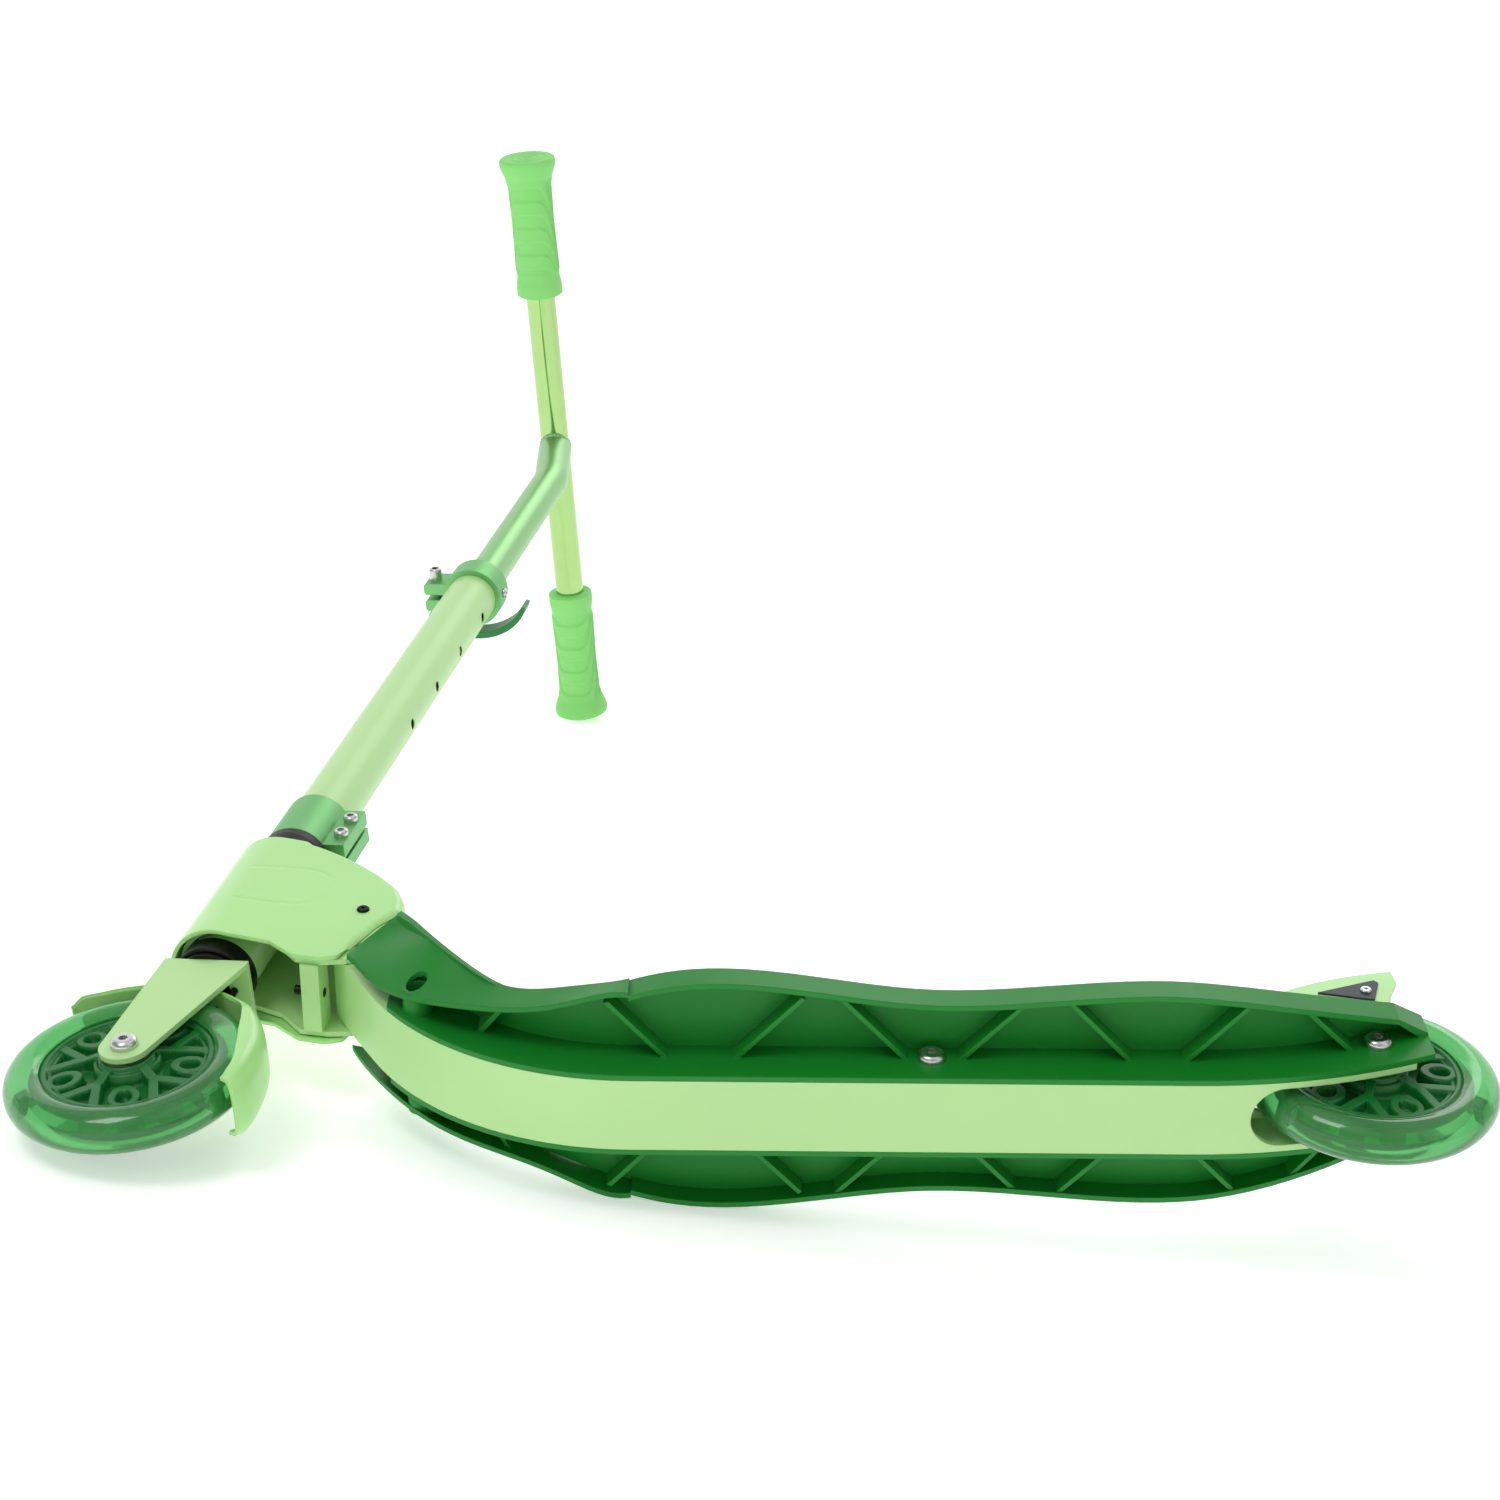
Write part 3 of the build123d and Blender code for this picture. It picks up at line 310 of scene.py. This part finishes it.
zinc = metal("zinc_steel", tint(206, 208, 205), 0.20)
zinc.onto(*(nodes[name] for name in (
    "deck_cross_bolt", "deck_cross_nut", "deck_side_screws", "rear_axle_bolt", "rear_axle_nut",
    "rear_axle_spacers", "brake_pin", "brake_spring", "brake_plate_screws", "fold_pin", "latch_pin",
    "collar_screws", "clamp_bolt", "clamp_ring_screw", "lever_pin", "front_axle_bolt",
    "front_axle_nut", "front_axle_spacers", "button_spring", "headset_bearings", "rear_bearings",
    "front_bearings",
)))
steel = metal("dark_steel", tint(96, 98, 96), 0.38)
steel.onto(nodes["steerer_tube"])
blackened = metal("black_steel", tint(46, 46, 44), 0.34)
blackened.onto(*(nodes[name] for name in (
    "cover_screws", "stop_screw", "fender_screw", "crown_race", "lower_headset_cup", "upper_headset_cup",
)))
black_plastic = moulded("black_plastic", tint(36, 38, 36), 0.42)
black_plastic.onto(*(nodes[name] for name in (
    "latch_button", "headset_cap", "clamp_sleeve", "upper_tube_bush",
)))


# ---------------------------------------------------------------- wheels
# Clear-green polyurethane tyres cast on a dark green nylon core, which has five forked
# spokes, loops between them at the rim, and a toothed ring that keys it into the tyre.
joints = {joint["name"]: joint for joint in frame["joints"]}
mounts = {mount["name"]: mount for mount in frame["record"]["mounts"]}


def joint_place(name):
    return np.array(joints[name]["pos_m"])


def joint_axis(name):
    return np.array(joints[name]["axis"])


def placed(origin, first, second, third):
    """Millimetres along three directions, from an origin, as places in the frame."""

    def place(x, y, z):
        x, y, z = (a[..., None] for a in np.broadcast_arrays(*(np.asarray(v, float) for v in (x, y, z))))
        return origin + (x * first + y * second + z * third) / 1000

    return place


# the deck's ahead and left, and the steered column's fore, spin and rise
left = -joint_axis("fold")
ahead = np.cross(left, np.array(mounts["deck_top"]["axis"]))
rise, spin = joint_axis("steer"), joint_axis("front_wheel_spin")
fore = np.cross(spin, rise)
hub_bore, hub_seat, hub_outer, hub_half, bearing_width = 9.0, 11.0, 14.0, 11.5, 7.0
rim_inner, rim_outer, rim_half, key_outer, key_half = 40.0, 43.5, 8.0, 49.4, 2.45
spoke_count, key_count, valley = 5, 16, 2.0
core_turns, core_rings = 540, 46


def eased(value, places, heights):
    """Passes through the stations with a smooth step from each one to the next."""
    places, heights = np.asarray(places, float), np.asarray(heights, float)
    value = np.clip(value, places[0], places[-1])
    step = np.clip(np.searchsorted(places, value, side="right") - 1, 0, len(places) - 2)
    share = (value - places[step]) / (places[step + 1] - places[step])
    return heights[step] + (heights[step + 1] - heights[step]) * share**2 * (3 - 2 * share)


def core_height(turn, radius):
    """Half thickness of the core's face: ribs stand out of a valley where the distance to a
    spoke's forked line, or to the loop between two spokes, is under half a rib's width."""
    pitch = 2 * math.pi / spoke_count
    off = np.mod(turn + pitch / 2, pitch) - pitch / 2
    fork_line = np.maximum(radius - 23, 0) * 0.60
    to_spoke = np.abs(np.abs(radius * off) - fork_line) * np.where(radius > 23, 0.86, 1.0)
    across = pitch / 2 - np.abs(off)
    outward, sideways = radius * np.cos(across) - 33.5, radius * np.sin(across)
    stretch = np.where(outward < 0, 0.72, 1.0)
    to_loop = np.abs(np.hypot(outward * stretch, sideways) - 6.0)
    ledge = np.minimum(np.abs(radius - 38.6), np.abs(radius - 15.5))
    spoke = eased(2.9 - to_spoke, (0, 0.7), (0, 1))
    loop = eased(2.3 - to_loop, (0, 0.7), (0, 1))
    rib = np.maximum(np.maximum(spoke, loop), eased(1.7 - ledge, (0, 0.6), (0, 0.8)))
    crown = eased(radius, (14, 24, 40), (10.6, 7.6, 7.0))
    return valley + (crown - valley) * rib


def wheel_core(name, centre, out, across):
    """Closed ring: from the bore over one ribbed face, round the toothed key, and back over
    the other face, turned about the axle."""
    turn = np.linspace(0, 2 * math.pi, core_turns, endpoint=False)[None]
    face_radius = np.linspace(hub_outer + 0.1, rim_inner, core_rings)[:, None]
    face_half = core_height(turn, face_radius)
    tooth = eased(np.abs(np.mod(turn * key_count / (2 * math.pi), 1) - 0.5), (0.13, 0.19), (0, 1))
    key = rim_outer + 0.3 + (key_outer - rim_outer - 0.3) * tooth
    flat = np.ones_like(turn)
    seat_half = hub_half - bearing_width
    rows = [
        (flat * hub_bore, flat * seat_half),
        (flat * hub_seat, flat * seat_half),
        (flat * hub_seat, flat * hub_half),
        (flat * (hub_outer - 0.5), flat * hub_half),
        (flat * hub_outer, flat * (hub_half - 0.5)),
        (np.broadcast_to(face_radius, face_half.shape), face_half),
        (flat * (rim_inner + 0.2), flat * (rim_half - 0.3)),
        (flat * (rim_inner + 0.7), flat * rim_half),
        (flat * rim_outer, flat * rim_half),
        (flat * rim_outer, flat * key_half),
        (key, flat * key_half),
    ]
    radius = np.concatenate([row[0] for row in rows])
    half = np.concatenate([row[1] for row in rows])
    radius, half = np.concatenate((radius, radius[::-1])), np.concatenate((half, -half[::-1]))
    place = placed(centre, out, across, np.cross(out, across))
    return mesh_piece(name, place(radius * np.cos(turn), half, radius * np.sin(turn)), closed=(True, True))


core_plastic = moulded("wheel_plastic", tint(18, 112, 46), 0.34, sheen=0.55, edge=0.0003)
clear = {"Transmission_Weight": 0.72, "IOR": 1.3, "Coat_Weight": 0.5, "Coat_Roughness": 0.06}
rubber = Finish("tyre_green", **clear)
milk = rubber.noise(14.0, detail=3.0)
dust = rubber.noise(420.0, detail=3.0)
rubber.feed("Base Color", rubber.mix(milk, tint(78, 184, 98), tint(112, 206, 122)))
rubber.feed("Roughness", 0.05 + milk * 0.08 + dust * 0.04)
rubber.feed("Normal", rubber.bump(dust, 0.05, 0.0001, 0.0004))
lamp_plastic = moulded("light_module", tint(196, 204, 196), 0.30)
for prefix, out, across in (("rear", ahead, left), ("front", fore, spin)):
    core = wheel_core(prefix + "_core", joint_place(prefix + "_wheel_spin"), out, across)
    core_plastic.onto(core)
    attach(core, prefix + "_wheel")
    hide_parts(prefix + "_wheel_core")
    rubber.onto(nodes[prefix + "_tyre"])
    lamp_plastic.onto(nodes[prefix + "_wheel_lights"])


# ---------------------------------------------------------------- front fender
# Thin glossy moulding screwed under the fork crown: a narrow tongue in front and a wide
# hood behind, whose sides wrap the tyre and whose end flares into a lip.
steer_height = 0.200
foot = joint_place("steer") - steer_height * rise
in_column = placed(foot, fore, spin, rise)
axle_up = float(np.dot(joint_place("front_wheel_spin") - foot, rise)) * 1000
axle_fore = float(np.dot(joint_place("front_wheel_spin") - foot, fore)) * 1000
arc = np.radians(np.linspace(44, 203, 120))[:, None]
around = np.radians(np.linspace(-90, 90, 41))[None]
degrees = np.degrees(arc)
hood_half = eased(degrees, (44, 50, 122, 146, 188, 197, 203), (8, 12.2, 12.4, 17.6, 18.6, 18.4, 16.6))
hood_drop = eased(degrees, (44, 50, 118, 164, 203), (1.2, 1.4, 1.6, 12.5, 7.5))
hood_curl = 1 - np.abs(np.cos(around)) ** 0.6
hood_radius = eased(degrees, (44, 60, 176, 203), (70.0, 67.6, 68.8, 71.5)) - hood_drop * hood_curl
hood_side = hood_half * np.sign(np.sin(around)) * np.abs(np.sin(around)) ** 0.55
fender = mesh_piece(
    "front_fender_shell",
    in_column(axle_fore + hood_radius * np.cos(arc), hood_side, axle_up + hood_radius * np.sin(arc)),
)


def thicken(piece, wall, softness):
    """Gives a shell its wall, inward, with softened rims."""
    shell = piece.modifiers.new("wall", "SOLIDIFY")
    shell.thickness = wall
    shell.offset = -1.0
    rim = piece.modifiers.new("rim", "BEVEL")
    rim.width = softness
    rim.segments = 3
    rim.angle_limit = math.radians(50)


thicken(fender, 0.0022, 0.0007)
lacquer = {"Coat_Weight": 0.25, "Coat_Roughness": 0.18}
cover_plastic = moulded("light_green_plastic", tint(176, 234, 146), 0.30, 1800.0, 0.06, 0.5, **lacquer)
cover_plastic.onto(fender, nodes["brake_pedal"])
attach(fender, "steering")
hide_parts("front_fender")
plate_plastic = moulded("plate_plastic", tint(52, 60, 66), 0.42)
plate_plastic.onto(nodes["brake_side_plates"])


# ---------------------------------------------------------------- head covers
# Two glossy shells, left and right, over the folding head. They meet along the middle of
# the nose and the crest, open downwards round the neck, and each has one black screw.
in_head = placed(foot, np.cross(left, rise), left, rise)
cover_half, cover_wall, corner, seam = 26.5, 2.3, 5.0, 0.12
crest_up = (143, 158, 184, 200, 212, 223, 235, 243, 251, 257, 262, 275)
crest_back = (-75, -75, -82, -90.5, -88, -82, -69, -58, -45, -33, -21, -21)
belly_share, belly_up = (0, 0.10, 0.24, 0.42, 0.62, 1.0), (158, 149, 144, 145, 156, 160.5)
cover_low, cover_top, mouth_up, head_hole = 158.0, 262.0, 194.0, 21.6
slot_half, slot_low, slot_high = 9.9, 226, 246
emblem_fore, emblem_up, emblem_radius = -28, 214, 19


def cover_section(share, height):
    """Half plan of the covers at a height, by share of its way: straight back, round corner,
    flat side, and a quarter circle for the nose."""
    back = np.interp(height, crest_up, crest_back)
    wall_y = np.clip(share / 0.2, 0, 1) * (cover_half - corner)
    bend = np.clip((share - 0.2) / 0.12, 0, 1) * math.pi / 2
    side = np.clip((share - 0.32) / 0.38, 0, 1)
    nose = np.clip((share - 0.70) / 0.30, 0, 1) * math.pi / 2
    x = back + corner * (1 - np.cos(bend)) + side * (-corner - back) + cover_half * np.sin(nose)
    y = wall_y + corner * np.sin(bend) - cover_half * (1 - np.cos(nose))
    return x, y


for name, hand in (("left_cover", 1), ("right_cover", -1)):
    share = np.linspace(0, 1, 121)[None]
    along = np.clip((share - 0.26) / 0.44, 0, 1)
    low = np.interp(along, belly_share, belly_up)
    high = eased(share, (0.0, 0.7, 1.0), (262.0, 265.5, 266.0))
    mouth_share = (mouth_up - cover_low) / (cover_top - cover_low)
    level = np.sort(np.concatenate((np.linspace(0, 1, 90), (1.0, mouth_share))))[:, None]
    height = low + level * (high - low)
    x, y = cover_section(share, height)
    open_back = (height < mouth_up) & (y < cover_half - cover_wall - 0.5) & (x < -20)
    spread = np.maximum(y, seam)
    rim = np.zeros_like(height, bool)
    rim[-1] = True
    inward = np.minimum(head_hole / np.maximum(np.hypot(x, spread), 1), 1)
    x = np.where(rim, x * inward, x)
    spread = np.where(rim, np.maximum(spread * inward, seam), spread)
    solid = ~(open_back[:-1, :-1] | open_back[1:, 1:])
    slot = (np.abs(spread) < slot_half) & (height > slot_low) & (height < slot_high) & ~rim
    solid &= ~(slot[:-1, :-1] & slot[1:, 1:])
    behind = emblem_fore - x
    emblem_way = np.hypot(np.where(behind > 0, behind, 0.25 * behind), height - emblem_up)
    line = np.exp(-(((emblem_way - emblem_radius) / 0.9) ** 2)) * (y > cover_half - 0.4) * (x < 10)
    shell = mesh_piece(name + "_shell", in_head(x, hand * (spread - 0.35 * line), height), keep=solid)
    thicken(shell, cover_wall / 1000, 0.0006)
    cover_plastic.onto(shell)
    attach(shell, "head")
    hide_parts(name)


# ---------------------------------------------------------------- column clamps and lever
# Split aluminium clamps, anodised green: a collar on the mast's foot and a quick-release
# ring at its top, closed by a dark green nylon cam lever. The snap button is brass.
anodised = metal("green_anodised", tint(128, 192, 128), 0.42, grain=1200.0, edge=0.0007)
anodised.onto(nodes["lower_collar"], nodes["clamp_ring"])
lever_plastic = moulded("lever_plastic", tint(30, 124, 56), 0.36)
lever_plastic.onto(nodes["clamp_lever"])
brass = metal("brass", tint(214, 170, 92), 0.22)
brass.onto(nodes["snap_button"])


# ---------------------------------------------------------------- handlebar
# Steel upper tube, satin green, bent forward and welded to a crossbar of the same green
# with a mirror finish. The weld is a rippled bead round the joint.
satin = metal("green_metal_satin", tint(146, 196, 134), 0.36, grain=300.0, coat=0.15)
satin.onto(nodes["upper_tube"])
mirror_bar = metal("green_metal_mirror", tint(168, 206, 130), 0.06, grain=200.0, coat=0.3)
mirror_bar.onto(nodes["crossbar"])
bar_fore, bar_up, bar_radius, tube_radius = 15.0, 974.0, 11.1, 12.7
lean_fore, lean_up = np.array((15.0, 76.0)) / math.hypot(15.0, 76.0)
bead_turn = np.linspace(0, 2 * math.pi, 180, endpoint=False)[:, None]
bead_round = np.linspace(0, 2 * math.pi, 14, endpoint=False)[None]
bead_side = tube_radius * np.cos(bead_turn)
bead_cross = 0.86 * tube_radius * np.sin(bead_turn)
bead_back = np.sqrt(np.maximum(bar_radius**2 - bead_cross**2, 0)) + 0.3
bead_size = 1.9 + 0.25 * np.sin(bead_turn * 30)
bead_out, bead_in = bead_size * np.cos(bead_round), bead_size * np.sin(bead_round)
reach_share = 1 + bead_out / tube_radius
bead = mesh_piece(
    "bar_weld",
    in_column(
        bar_fore - (bead_back + bead_in) * lean_fore + bead_cross * reach_share * lean_up,
        bead_side * reach_share,
        bar_up - (bead_back + bead_in) * lean_up - bead_cross * reach_share * lean_fore,
    ),
    closed=(True, True),
)
satin.onto(bead)
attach(bead, "handlebar")


# ---------------------------------------------------------------- grips
# Soft thermoplastic rubber pushed over the bar's ends: a collar, a waist with stepped
# arches whose edges run on as lines down the sides, and a flared end with rings.
grip_start, grip_length = 123.0, 106.0
grip_turn = np.linspace(0, 2 * math.pi, 200, endpoint=False)[None]
end_bend = np.sin(np.linspace(0.2, math.pi / 2, 10))
grip_way = np.append(np.linspace(0, grip_length - 3, 230), grip_length - 3 + 3 * end_bend)[:, None]
grip_radius = eased(
    grip_way,
    (0, 1.4, 7, 17, 60, 84, 103, 105, 106),
    (15.2, 17.3, 17.4, 16.1, 15.4, 15.9, 21.2, 20.9, 19.6),
)
fold_back = np.abs(np.mod(grip_turn + math.pi / 2, math.pi) - math.pi / 2) / (math.pi / 2)
contour = grip_way - 4 + 60 * fold_back**5
step_wave = np.sin(2 * math.pi * contour / 20.5)
window = eased(grip_way, (17, 21, 88, 92), (0, 1, 1, 0)) * eased(contour, (14, 17), (0, 1))
step_height = 0.62 * np.clip(step_wave * 4.0, -1, 1) * window
grip_body_radius = grip_radius + step_height
end_radius = np.linspace(19.2, 0, 40)[:, None] * np.ones_like(grip_turn)
end_way = grip_length - 0.35 * (1 - np.cos(end_radius * 1.25)) * (end_radius < 16)
start_radius = np.linspace(bar_radius + 0.02, 15.0, 4)[:, None] * np.ones_like(grip_turn)
radius = np.concatenate((start_radius, grip_body_radius, end_radius))
way = np.concatenate((0 * start_radius, grip_way * np.ones_like(grip_turn), end_way))
grip_rubber = moulded("grip_rubber", tint(138, 220, 120), 0.52, grain=2200.0, depth=0.12, sheen=0.35)
for name, hand in (("left_grip", 1), ("right_grip", -1)):
    across, along_rise = radius * np.sin(grip_turn), -radius * np.cos(grip_turn)
    grip = mesh_piece(
        name + "_rubber",
        in_column(bar_fore + across, hand * (grip_start + way), bar_up + along_rise),
        closed=(False, True),
    )
    grip_rubber.onto(grip)
    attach(grip, "handlebar")
    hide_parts(name)
